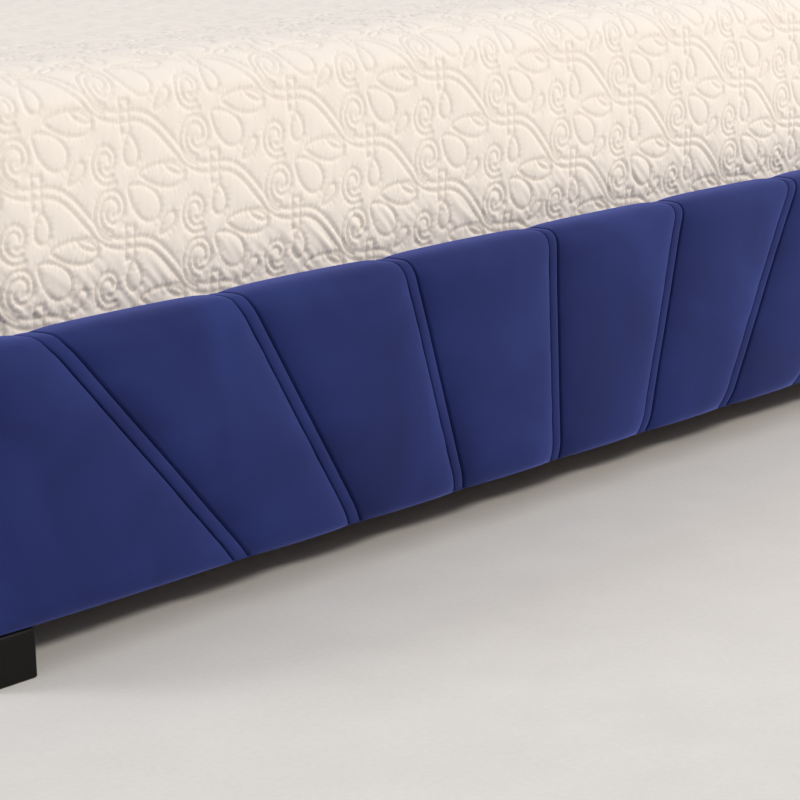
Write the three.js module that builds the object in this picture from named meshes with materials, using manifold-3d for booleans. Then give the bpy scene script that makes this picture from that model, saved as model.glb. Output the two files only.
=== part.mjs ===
// An upholstered queen-size platform bed, in millimetres, +Z up.
// The origin is on the floor under the middle of the bed. +Y runs from the foot to the head.
// Each panel is a timber core in a foam sleeve and a velvet cover, all open underneath, as they are stapled.
import * as THREE from "three";
import { mergeVertices } from "three/addons/utils/BufferGeometryUtils.js";
import Module from "manifold-3d";

const wasm = await Module();
wasm.setup();

// Driving dimensions
const bedWidth = 1650;
const bedLength = 2200;
const legHeight = 45;
const railHeight = 250;
const headboardTop = 1120;
const footboardThickness = 60;
const headboardThickness = 80;
const sideRailThickness = 50;
const mattressWidth = 1530;
const mattressLength = 2030;
const mattressThickness = 275;
const coverletThickness = 6;
const slatCount = 11;
const slatWidth = 100;
const slatThickness = 18;
const slatTop = 235;
const supportLegCount = 3;
const supportLegSpacing = 500;
const footTravel = 11; // how far a levelling foot screws up into its leg

// Panels
const gap = 0.3; // between pieces that touch
const coverThickness = 1.5;
const faceBoardThickness = 5;
const postWidth = 100;
const legWidth = 61;
const legDepth = 56;
const legInset = 3;

// Base
const ledgerWidth = 25;
const ledgerHeight = 40;
const beamWidth = 40;
const beamHeight = 60;
const hangerThickness = 3;
const hangerReach = 60;
const hangerPlateWidth = 110;
const slatFromEnd = 25;
const slatEndGap = 5;
const supportLegWidth = 45;
const supportLegBottom = 20;
const plateHalf = 32;
const plateThickness = 3;
const boreRadius = 5.5;
const stemRadius = 4.7;
const stemInside = 24;
const footRadius = 19;
const footDiscHeight = supportLegBottom - footTravel - 1;
const boreDepth = stemInside + footTravel + 10;

// Corner brackets and bolts
const bracketBottom = 60;
const bracketHeight = 100;
const bracketFlange = 60;
const bracketThickness = 4;
const boltRadius = 4;
const boltHoleRadius = 4.6;
const washerRadius = 10;
const washerThickness = 1.6;
const boltHeadRadius = 7.5;
const boltHeadHeight = 5.3;
const boltFromCorner = 38; // along each flange
const endBoltHeight = 135;
const railBoltHeight = 85;
const footBoltReach = 26; // how far a bolt goes into its panel
const headBoltReach = 56;
const railBoltReach = 24;
const roundSides = 12;

// Places that follow from them
const footFace = -bedLength / 2;
const headFace = bedLength / 2;
const footInner = footFace + footboardThickness;
const headInner = headFace - headboardThickness;
const railInner = bedWidth / 2 - sideRailThickness;
const clearLength = headInner - footInner;
const middleY = (footInner + headInner) / 2; // of the space inside the frame
const slatBottom = slatTop - slatThickness;

// Finishes
const finish = (color, roughness, metalness = 0) => new THREE.MeshStandardMaterial({ color, roughness, metalness });
const velvet = finish(0x2c3470, 0.85);
const foamFinish = finish(0xe9e2c8, 0.95);
const timber = finish(0xc8a878, 0.7);
const hardboard = finish(0x8a6238, 0.75);
const blackPlastic = finish(0x1b1b19, 0.5);
const blackSteel = finish(0x202124, 0.45, 0.6);
const zincSteel = finish(0xa9adb0, 0.35, 0.9);
const ticking = finish(0xece9e2, 0.9);
const quilting = finish(0xefe7da, 0.9);

const bed = new THREE.Group();

// A closed geometry as a solid that can be joined and cut.
function toSolid(geometry) {
  const bare = geometry.clone();
  bare.deleteAttribute("normal");
  bare.deleteAttribute("uv");
  const merged = mergeVertices(bare, 1e-4);
  return new wasm.Manifold(
    new wasm.Mesh({
      numProp: 3,
      vertProperties: new Float32Array(merged.attributes.position.array),
      triVerts: new Uint32Array(merged.index.array),
    }),
  );
}

// A solid back as a geometry.
function toGeometry(solid) {
  const mesh = solid.getMesh();
  const geometry = new THREE.BufferGeometry();
  geometry.setAttribute("position", new THREE.BufferAttribute(new Float32Array(mesh.vertProperties), 3));
  geometry.setIndex(new THREE.BufferAttribute(new Uint32Array(mesh.triVerts), 1));
  geometry.computeVertexNormals();
  return geometry;
}

// The first geometry less all the others.
function cut(body, ...tools) {
  return toGeometry(tools.reduce((left, tool) => left.subtract(toSolid(tool)), toSolid(body)));
}

// All the geometries joined.
function join(first, ...others) {
  return toGeometry(others.reduce((all, other) => all.add(toSolid(other)), toSolid(first)));
}

// A named mesh in a group, moved to its place.
function place(group, name, geometry, material, x = 0, y = 0, z = 0) {
  const mesh = new THREE.Mesh(geometry, material);
  mesh.name = name;
  mesh.position.set(x, y, z);
  group.add(mesh);
}

// A block between any two opposite corners.
function block([x0, y0, z0], [x1, y1, z1]) {
  const geometry = new THREE.BoxGeometry(Math.abs(x1 - x0), Math.abs(y1 - y0), Math.abs(z1 - z0));
  return geometry.translate((x0 + x1) / 2, (y0 + y1) / 2, (z0 + z1) / 2);
}

// A round bar along Y from the origin.
function roundBar(radius, length, sides = roundSides) {
  return new THREE.CylinderGeometry(radius, radius, length, sides).translate(0, length / 2, 0);
}

// A bar of the panel's section, its two top edges rounded, along X and centred on it. Its front is -Y.
function panelBar(width, front, back, bottom, top, edge) {
  const section = new THREE.Shape();
  section.moveTo(front, bottom);
  section.lineTo(back, bottom);
  section.absarc(back - edge, top - edge, edge, 0, Math.PI / 2, false);
  section.absarc(front + edge, top - edge, edge, Math.PI / 2, Math.PI, false);
  const bar = new THREE.ExtrudeGeometry(section, { depth: width, bevelEnabled: false, curveSegments: 5 });
  return bar.rotateX(Math.PI / 2).rotateZ(Math.PI / 2).translate(-width / 2, 0, 0);
}

// A block with round corners all over, centred in X and Y, its bottom at z = 0.
function softBlock(width, length, height, corner, edge, steps) {
  const [halfW, halfL] = [width / 2 - edge, length / 2 - edge];
  const outline = new THREE.Shape();
  outline.absarc(halfW - corner, halfL - corner, corner, 0, Math.PI / 2, false);
  outline.absarc(corner - halfW, halfL - corner, corner, Math.PI / 2, Math.PI, false);
  outline.absarc(corner - halfW, corner - halfL, corner, Math.PI, Math.PI * 1.5, false);
  outline.absarc(halfW - corner, corner - halfL, corner, Math.PI * 1.5, Math.PI * 2, false);
  const bevel = { bevelEnabled: true, bevelThickness: edge, bevelSize: edge, bevelSegments: steps, curveSegments: steps + 1 };
  return new THREE.ExtrudeGeometry(outline, { depth: height - 2 * edge, ...bevel }).translate(0, 0, edge);
}

// A padded panel about its own middle, its bottom at z = 0 and its show face at -Y: cover, foam and timber core.
// Its bolts go in from side 1, the back, or side -1, the show face, each at [x, z].
function upholsteredPanel(name, size, padding, core, bolts) {
  const group = new THREE.Group();
  const { width, height, thickness, edge } = size;
  const [front, back] = [-thickness / 2, thickness / 2];
  const holeLength = bolts.reach + 2;
  const holeStart = bolts.side > 0 ? back - bolts.reach - 1 : front - 1;
  const holes = bolts.places.map(([x, z]) => roundBar(boltHoleRadius, holeLength).translate(x, holeStart, z));

  const skin = coverThickness;
  const coverOuter = panelBar(width, front, back, 0, height, edge);
  const coverInner = panelBar(width - 2 * skin, front + skin, back - skin, -1, height - skin, edge - skin);
  place(group, `${name}_cover`, cut(coverOuter, coverInner, ...holes), velvet);

  const inset = skin + gap;
  const foamOuter = panelBar(width - 2 * inset, front + inset, back - inset, 0, height - inset, edge - inset);
  const coreFront = front + inset + padding.front;
  const coreBack = back - inset - padding.back;
  const coreTop = height - inset - padding.top;
  const coreHalf = width / 2 - inset - padding.end;
  const pocket = block([-coreHalf, coreFront, -1], [coreHalf, coreBack, coreTop]);
  place(group, `${name}_foam`, cut(foamOuter, pocket, ...holes), foamFinish);

  core(group, name, { half: coreHalf - gap, front: coreFront + gap, back: coreBack - gap, top: coreTop - gap }, holes);
  return group;
}

// The core of the footboard and the headboard: a hardboard face on two posts and two rails.
function ladderCore(railDepth) {
  return (group, name, { half, front, back, top }, holes) => {
    const faceBack = front + faceBoardThickness;
    const timberFront = faceBack + gap;
    place(group, `${name}_face_board`, cut(block([-half, front, 0], [half, faceBack, top]), ...holes), hardboard);
    const leftPost = block([-half, timberFront, 0], [-half + postWidth, back, top]);
    const rightPost = block([half - postWidth, timberFront, 0], [half, back, top]);
    place(group, `${name}_left_post`, cut(leftPost, ...holes), timber);
    place(group, `${name}_right_post`, cut(rightPost, ...holes), timber);
    const reach = half - postWidth - gap;
    place(group, `${name}_bottom_rail`, block([-reach, timberFront, 0], [reach, back, railDepth]), timber);
    place(group, `${name}_top_rail`, block([-reach, timberFront, top - railDepth], [reach, back, top]), timber);
  };
}

// The core of a side rail: one board.
function boardCore(group, name, { half, front, back, top }, holes) {
  place(group, `${name}_board`, cut(block([-half, front, 0], [half, back, top]), ...holes), timber);
}

// Where the corner bolts go: one through each flange of an angle bracket, at different heights.
const endBoltX = railInner - gap - boltFromCorner;
const endBolts = [-endBoltX, endBoltX].map((x) => [x, endBoltHeight - legHeight]);
const railLength = clearLength - 2 * gap;
const railBoltX = railLength / 2 - boltFromCorner;
const railBolts = [-railBoltX, railBoltX].map((x) => [x, railBoltHeight - legHeight]);

// The footboard and the headboard
const footboard = upholsteredPanel(
  "footboard",
  { width: bedWidth, height: railHeight, thickness: footboardThickness, edge: 26 },
  { front: 18, top: 20, back: 6, end: 8 },
  ladderCore(80),
  { places: endBolts, side: 1, reach: footBoltReach },
);
footboard.position.set(0, footFace + footboardThickness / 2, legHeight);
bed.add(footboard);

const headboard = upholsteredPanel(
  "headboard",
  { width: bedWidth, height: headboardTop - legHeight, thickness: headboardThickness, edge: 32 },
  { front: 26, top: 25, back: 5, end: 12 },
  ladderCore(180),
  { places: endBolts, side: -1, reach: headBoltReach },
);
headboard.position.set(0, headFace - headboardThickness / 2, legHeight);
bed.add(headboard);

// The side rails, each with the ledger that the slats lie on
const ledgerTop = slatBottom - gap;
const ledgerInner = railInner - gap - ledgerWidth;
for (const [name, side] of [["left_rail", -1], ["right_rail", 1]]) {
  const rail = upholsteredPanel(
    name,
    { width: railLength, height: railHeight, thickness: sideRailThickness, edge: 20 },
    { front: 15, top: 12, back: 5, end: 3 },
    boardCore,
    { places: railBolts, side: 1, reach: railBoltReach },
  );
  rail.position.set((side * (bedWidth - sideRailThickness)) / 2, middleY, legHeight);
  rail.rotation.z = (side * Math.PI) / 2;
  bed.add(rail);
  const ledgerEnd = railLength / 2 - gap;
  const ledger = block(
    [side * ledgerInner, middleY - ledgerEnd, ledgerTop - ledgerHeight],
    [side * (railInner - gap), middleY + ledgerEnd, ledgerTop],
  );
  place(bed, `${name}_ledger`, ledger, timber);
}

// The block legs, set a little in from the corners
const legX = bedWidth / 2 - legInset - legWidth / 2;
const legY = bedLength / 2 - legInset - legDepth / 2;
for (const [end, endSide] of [["foot", -1], ["head", 1]]) {
  for (const [name, side] of [["left", -1], ["right", 1]]) {
    const leg = softBlock(legWidth, legDepth, legHeight - gap, 1.5, 1.5, 1);
    place(bed, `${end}_${name}_leg`, leg, blackPlastic, side * legX, endSide * legY);
  }
}

// The corner brackets and their bolts
const bracketTop = bracketBottom + bracketHeight;
for (const [end, endSide, panelFace] of [["foot", -1, footInner], ["head", 1, headInner]]) {
  for (const [name, side] of [["left", -1], ["right", 1]]) {
    const cornerX = side * (railInner - gap);
    const cornerY = panelFace - endSide * gap;
    const inwardX = (x) => cornerX - side * x;
    const inwardY = (y) => cornerY - endSide * y;
    const endFlange = block(
      [cornerX, cornerY, bracketBottom],
      [inwardX(bracketFlange), inwardY(bracketThickness), bracketTop],
    );
    const railFlange = block(
      [cornerX, cornerY, bracketBottom],
      [inwardX(bracketThickness), inwardY(bracketFlange), bracketTop],
    );
    const endHole = roundBar(boltHoleRadius, 3 * bracketThickness);
    endHole.translate(inwardX(boltFromCorner), cornerY - 1.5 * bracketThickness, endBoltHeight);
    const railHole = roundBar(boltHoleRadius, 3 * bracketThickness).rotateZ(Math.PI / 2);
    railHole.translate(cornerX + 1.5 * bracketThickness, inwardY(boltFromCorner), railBoltHeight);
    place(bed, `${end}_${name}_bracket`, cut(join(endFlange, railFlange), endHole, railHole), zincSteel);

    const endReach = end === "foot" ? footBoltReach : headBoltReach;
    const endBolt = cornerBolt(endReach);
    if (end === "head") endBolt.rotateZ(Math.PI);
    const headGap = bracketThickness + gap;
    place(bed, `${end}_${name}_end_bolt`, endBolt, zincSteel, inwardX(boltFromCorner), inwardY(headGap), endBoltHeight);
    const railBolt = cornerBolt(railBoltReach).rotateZ((side * Math.PI) / 2);
    place(bed, `${end}_${name}_rail_bolt`, railBolt, zincSteel, inwardX(headGap), inwardY(boltFromCorner), railBoltHeight);
  }
}

// A hex bolt and its washer along Y. Its head is on +Y of the origin, where the bracket's face is.
function cornerBolt(reach) {
  const shankLength = reach + bracketThickness + gap + washerThickness + 1;
  const shank = roundBar(boltRadius, shankLength).translate(0, washerThickness + 1 - shankLength, 0);
  const washer = roundBar(washerRadius, washerThickness);
  const head = roundBar(boltHeadRadius, boltHeadHeight + washerThickness, 6);
  return join(shank, washer, head);
}

// The centre beam, and the steel hangers that hold its ends
const beamTop = slatBottom - gap;
const beamBottom = beamTop - beamHeight;
const beamEnd = clearLength / 2 - gap - hangerThickness - gap;
const beam = block([-beamWidth / 2, middleY - beamEnd, beamBottom], [beamWidth / 2, middleY + beamEnd, beamTop]);
place(bed, "centre_beam", beam, timber);
for (const [name, side] of [["foot", -1], ["head", 1]]) {
  const face = middleY + side * (clearLength / 2 - gap);
  const seatInner = beamWidth / 2 + gap;
  const seatOuter = seatInner + hangerThickness;
  const seatTop = beamTop - 10;
  const inner = face - side * hangerReach;
  const plate = block(
    [-hangerPlateWidth / 2, face, beamBottom - 30],
    [hangerPlateWidth / 2, face - side * hangerThickness, seatTop],
  );
  const cradle = block([-seatOuter, face, beamBottom - gap - hangerThickness], [seatOuter, inner, seatTop]);
  const hollow = block(
    [-seatInner, face - side * hangerThickness, beamBottom - gap],
    [seatInner, inner - side, seatTop + 1],
  );
  place(bed, `${name}_beam_hanger`, cut(join(plate, cradle), hollow), zincSteel);
}

// The support legs under the beam, each with a levelling foot screwed up into it
const legTop = beamBottom - gap;
for (let i = 0; i < supportLegCount; i++) {
  const name = ["foot", "middle", "head"][i];
  const y = middleY + supportLegSpacing * (i - (supportLegCount - 1) / 2);
  const half = supportLegWidth / 2;
  const post = block([-half, -half, supportLegBottom], [half, half, legTop - 1]);
  const topPlate = block([-plateHalf, -plateHalf, legTop - plateThickness], [plateHalf, plateHalf, legTop]);
  const bore = roundBar(boreRadius, boreDepth + 1).rotateX(Math.PI / 2).translate(0, 0, supportLegBottom - 1);
  place(bed, `${name}_support_leg`, cut(join(post, topPlate), bore), blackSteel, 0, y);

  const outline = [
    [0, 0],
    [footRadius - 1.5, 0],
    [footRadius, 2],
    [footRadius, footDiscHeight - 2],
    [footRadius - 3, footDiscHeight],
    [stemRadius, footDiscHeight],
    [stemRadius, supportLegBottom + stemInside - 1.5],
    [stemRadius - 1.5, supportLegBottom + stemInside],
    [0, supportLegBottom + stemInside],
  ];
  const foot = new THREE.LatheGeometry(outline.map(([r, z]) => new THREE.Vector2(r, z)), 16);
  place(bed, `${name}_levelling_foot`, foot.rotateX(Math.PI / 2), blackPlastic, 0, y);
}

// The slats, evenly spaced between the ends of the frame
const slatHalfLength = railInner - slatEndGap;
const firstSlat = footInner + slatFromEnd + slatWidth / 2;
const slatPitch = (clearLength - 2 * slatFromEnd - slatWidth) / (slatCount - 1);
for (let i = 0; i < slatCount; i++) {
  const slat = block([-slatHalfLength, -slatWidth / 2, slatBottom], [slatHalfLength, slatWidth / 2, slatTop]);
  place(bed, `slat_${String(i + 1).padStart(2, "0")}`, slat, timber, 0, firstSlat + i * slatPitch);
}

// The mattress, and the quilted coverlet that hangs over it and tucks down inside the frame
const mattressBottom = slatTop + 2 * gap;
const mattress = softBlock(mattressWidth, mattressLength, mattressThickness, 60, 24, 3);
place(bed, "mattress", mattress, ticking, 0, middleY, mattressBottom);
const coverletWidth = mattressWidth + 2 * (coverletThickness + gap);
const coverletLength = mattressLength + 2 * (coverletThickness + gap);
const hem = mattressBottom + 10;
const innerHeight = mattressBottom + mattressThickness + gap - hem;
const trim = 60; // the round bottom of each block, cut off at the hem
const outer = softBlock(coverletWidth, coverletLength, innerHeight + coverletThickness + trim, 66, 30, 3);
const inner = softBlock(mattressWidth + 2 * gap, mattressLength + 2 * gap, innerHeight + trim, 60, 24, 3);
const below = block([-bedWidth, -bedLength, -trim], [bedWidth, bedLength, 0]);
const coverlet = cut(outer.translate(0, 0, -trim), inner.translate(0, 0, -trim), below);
place(bed, "coverlet", coverlet, quilting, 0, middleY, hem);

export default bed;
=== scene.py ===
import math

import bpy
import numpy as np
from mathutils import Matrix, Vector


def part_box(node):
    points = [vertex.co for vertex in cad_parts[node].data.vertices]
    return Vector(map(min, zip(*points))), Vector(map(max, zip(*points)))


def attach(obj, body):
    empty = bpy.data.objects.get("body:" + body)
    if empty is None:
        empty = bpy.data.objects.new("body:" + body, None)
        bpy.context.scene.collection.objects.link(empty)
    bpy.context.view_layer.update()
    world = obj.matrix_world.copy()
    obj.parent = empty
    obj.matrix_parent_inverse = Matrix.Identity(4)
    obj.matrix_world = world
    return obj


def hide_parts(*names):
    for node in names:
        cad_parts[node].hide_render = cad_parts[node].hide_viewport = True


# A queen-size upholstered bed: fan-stitched velvet panels on block legs, slats, a mattress and a quilted
# coverlet. The frame's places are in metres. Shapes are worked out in millimetres, and mm makes them metres.
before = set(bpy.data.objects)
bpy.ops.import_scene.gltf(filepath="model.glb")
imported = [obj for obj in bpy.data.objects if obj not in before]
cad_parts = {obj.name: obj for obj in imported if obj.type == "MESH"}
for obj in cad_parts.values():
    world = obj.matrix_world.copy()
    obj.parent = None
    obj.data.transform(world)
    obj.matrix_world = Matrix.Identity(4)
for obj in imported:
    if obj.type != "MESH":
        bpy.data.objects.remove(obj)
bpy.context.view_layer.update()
mm = 0.001
print("frame:", len(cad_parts), "nodes")


# nodes and colours

def hexColour(code):  # an sRGB hex colour as linear light
    parts = [int(code[i:i + 2], 16) / 255 for i in (0, 2, 4)]
    return [c / 12.92 if c <= 0.04045 else ((c + 0.055) / 1.055) ** 2.4 for c in parts] + [1.0]


def addNode(tree, kind, settings=None, inputs=None):  # an input is a value or another node's output
    node = tree.nodes.new("ShaderNode" + kind)
    for name, value in (settings or {}).items():
        setattr(node, name, value)
    for key, value in (inputs or {}).items():
        if isinstance(value, bpy.types.NodeSocket):
            tree.links.new(value, node.inputs[key])
        else:
            node.inputs[key].default_value = value
    return node


def newMaterial(name, shader):  # an empty material with its shader's constant sockets set
    material = bpy.data.materials.new(name)
    material.use_nodes = True
    tree = material.node_tree
    principled = tree.nodes["Principled BSDF"]
    for key, value in shader.items():
        principled.inputs[key].default_value = value
    return material, tree, principled


def rampStops(ramp, places, codes):  # a hex colour at each place on a colour ramp
    elements = ramp.color_ramp.elements
    while len(elements) < len(codes):
        elements.new(0.5)
    for element, place, code in zip(elements, places, codes):
        element.position = place
        element.color = hexColour(code)
    return ramp.outputs["Color"]


# materials

velvetLook = dict(
    shades=["161f50", "1b265c", "222f69"], stops=[0.34, 0.5, 0.68], sheenTint="6b78ce", sheen=0.9,
    napMm=150, pileMm=0.9, pileShare=0.22, pileBump=0.2, bumpMm=0.4,
)


def cottonVelvet():
    # Cut-pile cotton velvet, brushed by hand: dark looking in, a pale bloom at grazing angles, and soft
    # patches of nap about a hand wide.
    look = velvetLook
    material, tree, shader = newMaterial("cottonVelvet", {
        "Roughness": 0.82, "Specular IOR Level": 0.18, "Sheen Weight": look["sheen"],
        "Sheen Roughness": 0.38, "Sheen Tint": hexColour(look["sheenTint"]),
    })
    place = addNode(tree, "TexCoord").outputs["Object"]
    nap = addNode(tree, "TexNoise", {}, {
        "Vector": place, "Scale": 1000 / look["napMm"], "Detail": 3.0, "Roughness": 0.5, "Distortion": 0.6})
    pile = addNode(tree, "TexNoise", {}, {
        "Vector": place, "Scale": 1000 / look["pileMm"], "Detail": 2.0, "Roughness": 0.6})
    blend = addNode(tree, "Mix", {"data_type": "FLOAT"}, {
        "Factor": look["pileShare"], "A": nap.outputs["Fac"], "B": pile.outputs["Fac"]})
    ramp = addNode(tree, "ValToRGB", {}, {"Fac": blend.outputs[0]})
    tree.links.new(rampStops(ramp, look["stops"], look["shades"]), shader.inputs["Base Color"])
    bump = addNode(tree, "Bump", {}, {
        "Strength": look["pileBump"], "Distance": look["bumpMm"] * mm, "Height": pile.outputs["Fac"]})
    tree.links.new(bump.outputs["Normal"], shader.inputs["Normal"])
    return material


# the first, darker shade is painted shade for the stitched lines; the second is the cloth's own cream
matelasseLook = dict(
    shades=["d9cec2", "efe6dc"], stops=[0.0, 0.5], weaveMm=1.6, weaveBump=0.15, bumpMm=0.5,
    washMm=250, washShare=0.12,
)


def matelasseCotton():
    # Cream cotton matelasse, two layers of cloth quilted over a wadding: matt, with a fine uneven weave, and
    # painted shade along the stitched lines, where the grooves would lie in shade. The mesh's attribute of
    # painted stitch shade is low on a stitched line and high where the wadding fills the cloth.
    look = matelasseLook
    material, tree, shader = newMaterial("matelasseCotton", {
        "Roughness": 0.9, "Specular IOR Level": 0.2, "Sheen Weight": 0.15, "Sheen Roughness": 0.5})
    place = addNode(tree, "TexCoord").outputs["Object"]
    weave = addNode(tree, "TexNoise", {}, {"Vector": place, "Scale": 1000 / look["weaveMm"], "Detail": 2.0})
    wash = addNode(tree, "TexNoise", {}, {"Vector": place, "Scale": 1000 / look["washMm"], "Detail": 2.0})
    # painted shade: the ramp below darkens the stitched lines by the attribute of painted stitch shade, plus
    # a broad random wash
    paintedStitchShade = addNode(tree, "Attribute", {"attribute_name": "paintedStitchShade"})
    height = addNode(tree, "Math", {"operation": "MULTIPLY_ADD"}, {
        0: wash.outputs["Fac"], 1: look["washShare"], 2: paintedStitchShade.outputs["Fac"]})
    ramp = addNode(tree, "ValToRGB", {}, {"Fac": height.outputs[0]})
    tree.links.new(rampStops(ramp, look["stops"], look["shades"]), shader.inputs["Base Color"])
    bump = addNode(tree, "Bump", {}, {
        "Strength": look["weaveBump"], "Distance": look["bumpMm"] * mm, "Height": weave.outputs["Fac"]})
    tree.links.new(bump.outputs["Normal"], shader.inputs["Normal"])
    return material


speckle = dict(patches=12.0, patchShare=0.5, stops=[0.36, 0.64], bumpMm=0.3)  # patches of wear to the metre


def speckled(name, colours, grainMm, roughness, bumpStrength, shader):
    # A plain surface whose colour and polish vary with a fine grain: moulded, sprayed, foamed or woven.
    material, tree, principled = newMaterial(name, shader)
    place = addNode(tree, "TexCoord").outputs["Object"]
    grain = addNode(tree, "TexNoise", {}, {"Vector": place, "Scale": 1000 / grainMm, "Detail": 3.0})
    worn = addNode(tree, "TexNoise", {}, {"Vector": place, "Scale": speckle["patches"], "Detail": 4.0})
    blend = addNode(tree, "Mix", {"data_type": "FLOAT"}, {
        "Factor": speckle["patchShare"], "A": grain.outputs["Fac"], "B": worn.outputs["Fac"]})
    ramp = addNode(tree, "ValToRGB", {}, {"Fac": blend.outputs[0]})
    tree.links.new(rampStops(ramp, speckle["stops"], colours), principled.inputs["Base Color"])
    polish = addNode(tree, "MapRange", {}, {
        "Value": worn.outputs["Fac"], "To Min": roughness[0], "To Max": roughness[1]})
    tree.links.new(polish.outputs[0], principled.inputs["Roughness"])
    bump = addNode(tree, "Bump", {}, {
        "Strength": bumpStrength, "Distance": speckle["bumpMm"] * mm, "Height": grain.outputs["Fac"]})
    tree.links.new(bump.outputs["Normal"], principled.inputs["Normal"])
    return material


pineLook = dict(
    shades=["b98a52", "d8b27a", "e6c894"], stops=[0.32, 0.5, 0.66], ringMm=17.5, fibreMm=1.2, fibreShare=0.3,
    stretch=0.04, polish=(0.5, 0.75), bump=0.25, bumpMm=0.3,
)


def sawnPine(along):
    # Sawn pine: growth rings stretched many times along the board, with fine dark grain lines between them.
    look = pineLook
    material, tree, shader = newMaterial(f"sawnPine{along.upper()}", {"Specular IOR Level": 0.35})
    place = addNode(tree, "TexCoord").outputs["Object"]
    squeeze = [look["stretch"] if axis == along else 1.0 for axis in "xyz"]
    board = addNode(tree, "Mapping", {}, {"Vector": place, "Scale": squeeze}).outputs[0]
    rings = addNode(tree, "TexNoise", {}, {
        "Vector": board, "Scale": 1000 / look["ringMm"], "Detail": 5.0, "Roughness": 0.6, "Distortion": 1.2})
    fibre = addNode(tree, "TexNoise", {}, {"Vector": board, "Scale": 1000 / look["fibreMm"], "Detail": 2.0})
    blend = addNode(tree, "Mix", {"data_type": "FLOAT"}, {
        "Factor": look["fibreShare"], "A": rings.outputs["Fac"], "B": fibre.outputs["Fac"]})
    ramp = addNode(tree, "ValToRGB", {}, {"Fac": blend.outputs[0]})
    tree.links.new(rampStops(ramp, look["stops"], look["shades"]), shader.inputs["Base Color"])
    polish = addNode(tree, "MapRange", {}, {
        "Value": rings.outputs["Fac"], "To Min": look["polish"][0], "To Max": look["polish"][1]})
    tree.links.new(polish.outputs[0], shader.inputs["Roughness"])
    bump = addNode(tree, "Bump", {}, {
        "Strength": look["bump"], "Distance": look["bumpMm"] * mm, "Height": blend.outputs[0]})
    tree.links.new(bump.outputs["Normal"], shader.inputs["Normal"])
    return material


velvet = cottonVelvet()
quilting = matelasseCotton()
pine = {axis: sawnPine(axis) for axis in "xyz"}
# pressed wood fibre: brown, matt and slightly mottled
hardboard = speckled("pressedHardboard", ["6d4a2b", "8a6238"], 2.5, (0.6, 0.8), 0.3, {})
# foamed polyurethane: pale yellow and quite matt, with open cells
foam = speckled("polyurethaneFoam", ["d9cfa0", "efe7c4"], 1.5, (0.9, 1.0), 0.8, {"Specular IOR Level": 0.1})
# moulded plastics: near black, half matt, with a fine moulded texture
blackPlastic = speckled("mouldedPolypropylene", ["0b0b0a", "131312"], 0.8, (0.38, 0.55), 0.15, {
    "IOR": 1.49, "Specular IOR Level": 0.12})
blackNylon = speckled("mouldedNylon", ["151514", "232321"], 0.6, (0.35, 0.5), 0.1, {"IOR": 1.53})
# steel sprayed with powder and baked: near black with a faint orange peel
blackSteel = speckled("powderCoatedSteel", ["141517", "222326"], 1.0, (0.4, 0.55), 0.35, {})
# zinc-plated steel: pale grey metal with dull spangled patches
zincSteel = speckled("zincPlatedSteel", ["9aa0a6", "c6c9ca"], 6.0, (0.25, 0.45), 0.05, {"Metallic": 1.0})
# woven cotton ticking and woven plastic webbing: off-white and matt, with a plain visible weave
ticking = speckled("damaskTicking", ["dcd7cc", "efebe2"], 2.2, (0.8, 0.95), 0.5, {"Sheen Weight": 0.1})
webbing = speckled("polypropyleneWebbing", ["d9d6cf", "f0eee9"], 1.2, (0.55, 0.7), 0.6, {})
print("materials made")


# mesh helpers

def gridFaces(rows, columns, closed=False):
    # The quads of a grid whose points run row by row. A closed grid's last row joins its first.
    row, column = np.meshgrid(np.arange(rows if closed else rows - 1), np.arange(columns - 1), indexing="ij")
    after = (row + 1) % rows
    corners = [(row, column), (row, column + 1), (after, column + 1), (after, column)]
    return np.stack([line * columns + place for line, place in corners], -1).reshape(-1, 4)


def tubeFaces(rings, sides, closed):  # the quads of a tube whose rings of points follow each other
    ring, side = np.meshgrid(np.arange(rings if closed else rings - 1), np.arange(sides), indexing="ij")
    after, beside = (ring + 1) % rings, (side + 1) % sides
    corners = [(ring, side), (after, side), (after, beside), (ring, beside)]
    return np.stack([line * sides + place for line, place in corners], -1).reshape(-1, 4).tolist()


def nodeBox(name):  # a node's lowest and highest corners in mm
    return [np.array(corner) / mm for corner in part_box(name)]


def makePiece(name, points, faces, material, body, slot, smooth=True):
    mesh = bpy.data.meshes.new(name)
    mesh.from_pydata(np.asarray(points).reshape(-1, 3).tolist(), [], faces)
    mesh.update()
    if smooth:
        mesh.shade_smooth()
    mesh.materials.append(material)
    piece = bpy.data.objects.new(name, mesh)
    bpy.context.scene.collection.objects.link(piece)
    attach(piece, body)
    return piece


def ripples(u, v, wave, seed, count=14):
    # A smooth random surface: the sum of count cosines, whose waves lie any way and are near one length, over
    # the square root of count.
    random = np.random.default_rng(seed)
    total = np.zeros(np.broadcast(u, v).shape)
    for _ in range(count):
        angle = random.uniform(0, 2 * math.pi)
        length = wave * random.uniform(0.7, 1.6)
        phase = random.uniform(0, 2 * math.pi)
        total += np.cos((u * math.cos(angle) + v * math.sin(angle)) * 2 * math.pi / length + phase)
    return total / math.sqrt(count)


def smoothStep(low, high, x):  # t * t * (3 - 2 t), where t runs from 0 at low to 1 at high
    t = np.clip((x - low) / (high - low), 0, 1)
    return t * t * (3 - 2 * t)


# the padded panels

padding = dict(  # in mm, but for the powers, shares and fill
    bandHalf=7.65, bandSink=6.2, bandRise=1.6, groove=3.0, grooveHalf=0.8, lip=5.3, lipReach=12.5,
    crown=5.5, crownPower=2.6, backCrown=0.3, topCrown=0.12, topDetail=0.42, topPower=3,
    pull=0.22, pullWave=60, pullReach=30, pullTall=1.6, soft=0.35, softWave=190,
    endRadius=12, footDeep=9, footTall=24, footFade=(-14, -3), faceOver=17, fanFade=14, topFade=5,
    backFade=25, velvetThick=3.0, foamGap=0.3, fill=0.8,
)
sectionRows = dict(under=4, foot=10, top=29)  # points along half the underside, round a foot and over the top
faceStart = sectionRows["under"] + sectionRows["foot"] - 2  # the first point of the flat face
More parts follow.
